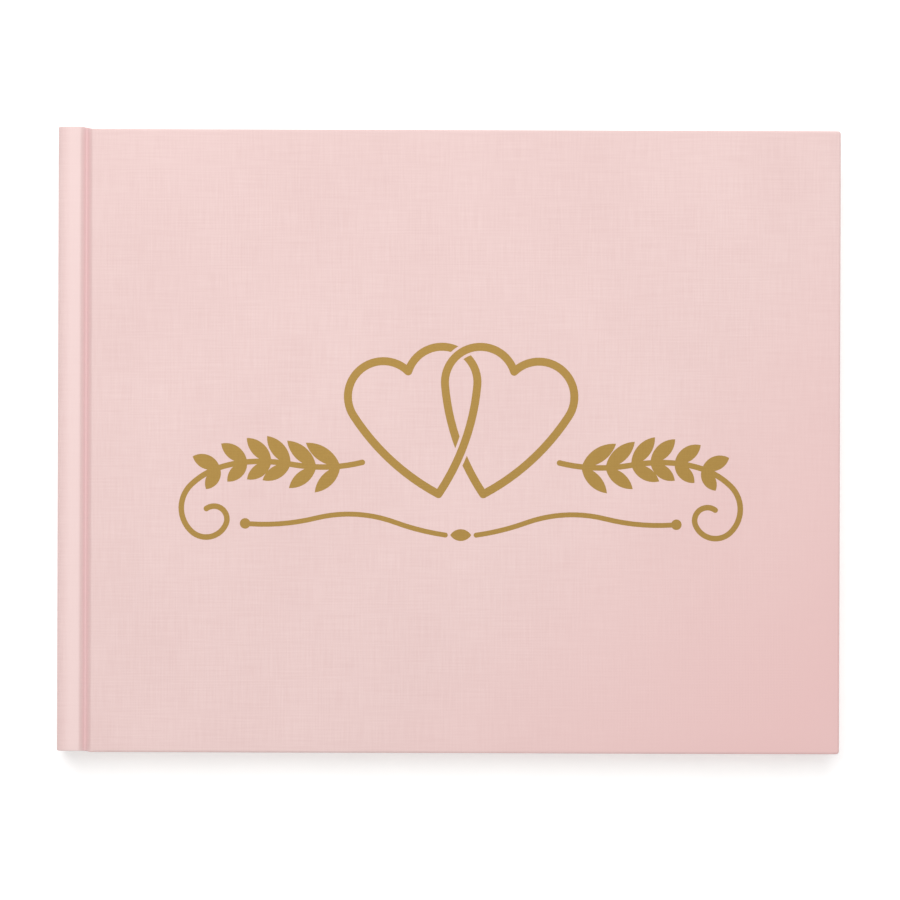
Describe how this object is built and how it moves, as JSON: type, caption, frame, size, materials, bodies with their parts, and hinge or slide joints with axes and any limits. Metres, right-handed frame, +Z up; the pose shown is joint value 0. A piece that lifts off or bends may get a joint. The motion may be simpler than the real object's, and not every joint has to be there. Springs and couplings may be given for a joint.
{
  "type": "wedding guest book",
  "caption": "Landscape hardcover guest book in pale cloth with a grooved joint, sewn page sections and a gold foil ornament; its covers and sections open.",
  "frame": {"origin": "centre of the underside of the closed book, lying on its back cover", "axes": "+X from the spine to the fore-edge, +Y from the foot to the head, +Z up through the front cover"},
  "size_m": [0.254, 0.203, 0.0201],
  "materials": {
    "greyboard": "bookbinder's greyboard, dense pressed paper pulp, matt",
    "book_cloth": "pale pink fine-weave book cloth",
    "endpaper": "smooth ivory endpaper",
    "page_paper": "smooth off-white writing paper",
    "kraft_paper": "brown kraft spine liner",
    "gauze": "open-weave binder's gauze",
    "linen_thread": "waxed linen thread",
    "band_silk": "woven headband, pale pink and cream stripes",
    "gold_foil": "matt gold hot-stamping foil"
  },
  "bodies": {
    "back_cover": {"back_board": "greyboard", "back_cloth": "book_cloth", "back_pastedown": "endpaper", "back_hinge_paper": "endpaper", "back_joint_cloth": "book_cloth"},
    "spine": {"spine_board": "greyboard", "spine_cloth": "book_cloth", "spine_liner": "kraft_paper", "mull": "gauze", "sewing_thread": "linen_thread", "head_band": "band_silk", "tail_band": "band_silk"},
    "front_hinge": {"front_joint_cloth": "book_cloth", "front_hinge_paper": "endpaper"},
    "front_cover": {"front_board": "greyboard", "front_cloth": "book_cloth", "front_pastedown": "endpaper", "foil_ornament": "gold_foil"},
    "section_1": {"section_1": "page_paper", "back_flyleaf": "endpaper"},
    "section_2": {"section_2": "page_paper"},
    "section_3": {"section_3": "page_paper"},
    "section_4": {"section_4": "page_paper"},
    "section_5_back_half": {"section_5_back_half": "page_paper"},
    "section_5_front_half": {"section_5_front_half": "page_paper"},
    "section_6": {"section_6": "page_paper"},
    "section_7": {"section_7": "page_paper"},
    "section_8": {"section_8": "page_paper"},
    "section_9": {"section_9": "page_paper", "front_flyleaf": "endpaper"}
  },
  "joints": [
    {"name": "book_opening", "type": "hinge", "parent": "back_cover", "child": "spine", "pos_m": [-0.12646, 0, 0.00054], "axis": [0, -1, 0], "range_deg": [0, 90], "deforming": ["back_joint_cloth"]},
    {"name": "front_joint_fold", "type": "hinge", "parent": "spine", "child": "front_hinge", "pos_m": [-0.12646, 0, 0.01952], "axis": [0, -1, 0], "range_deg": [0, 90], "deforming": ["front_joint_cloth"]},
    {"name": "front_cover_swing", "type": "hinge", "parent": "front_hinge", "child": "front_cover", "pos_m": [-0.1175, 0, 0.02026], "axis": [0, 1, 0], "range_deg": [-179, 0], "deforming": ["front_hinge_paper"]},
    {"name": "section_1_fold", "type": "hinge", "parent": "spine", "child": "section_1", "pos_m": [-0.12571, 0, 0.00129], "axis": [0, -1, 0], "range_deg": [-90, 0]},
    {"name": "section_2_fold", "type": "hinge", "parent": "spine", "child": "section_2", "pos_m": [-0.12529, 0, 0.00171], "axis": [0, -1, 0], "range_deg": [-90, 0]},
    {"name": "section_3_fold", "type": "hinge", "parent": "spine", "child": "section_3", "pos_m": [-0.12486, 0, 0.00214], "axis": [0, -1, 0], "range_deg": [-90, 0]},
    {"name": "section_4_fold", "type": "hinge", "parent": "spine", "child": "section_4", "pos_m": [-0.12443, 0, 0.00257], "axis": [0, -1, 0], "range_deg": [-90, 0]},
    {"name": "section_5_back_half_fold", "type": "hinge", "parent": "spine", "child": "section_5_back_half", "pos_m": [-0.124, 0, 0.003], "axis": [0, -1, 0], "range_deg": [-90, 0]},
    {"name": "section_5_front_half_fold", "type": "hinge", "parent": "spine", "child": "section_5_front_half", "pos_m": [-0.124, 0, 0.01706], "axis": [0, -1, 0], "range_deg": [0, 90]},
    {"name": "section_6_fold", "type": "hinge", "parent": "spine", "child": "section_6", "pos_m": [-0.12443, 0, 0.01749], "axis": [0, -1, 0], "range_deg": [0, 90]},
    {"name": "section_7_fold", "type": "hinge", "parent": "spine", "child": "section_7", "pos_m": [-0.12486, 0, 0.01792], "axis": [0, -1, 0], "range_deg": [0, 90]},
    {"name": "section_8_fold", "type": "hinge", "parent": "spine", "child": "section_8", "pos_m": [-0.12529, 0, 0.01835], "axis": [0, -1, 0], "range_deg": [0, 90]},
    {"name": "section_9_fold", "type": "hinge", "parent": "spine", "child": "section_9", "pos_m": [-0.12571, 0, 0.01877], "axis": [0, -1, 0], "range_deg": [0, 90]}
  ],
  "couplings": [
    {"joint": "front_joint_fold", "follows": "book_opening", "ratio": 1},
    {"joint": "section_1_fold", "follows": "book_opening", "ratio": -1},
    {"joint": "section_2_fold", "follows": "book_opening", "ratio": -1},
    {"joint": "section_3_fold", "follows": "book_opening", "ratio": -1},
    {"joint": "section_4_fold", "follows": "book_opening", "ratio": -1},
    {"joint": "section_5_back_half_fold", "follows": "book_opening", "ratio": -1},
    {"joint": "section_5_front_half_fold", "follows": "book_opening", "ratio": 1},
    {"joint": "section_6_fold", "follows": "book_opening", "ratio": 1},
    {"joint": "section_7_fold", "follows": "book_opening", "ratio": 1},
    {"joint": "section_8_fold", "follows": "book_opening", "ratio": 1},
    {"joint": "section_9_fold", "follows": "book_opening", "ratio": 1}
  ]
}
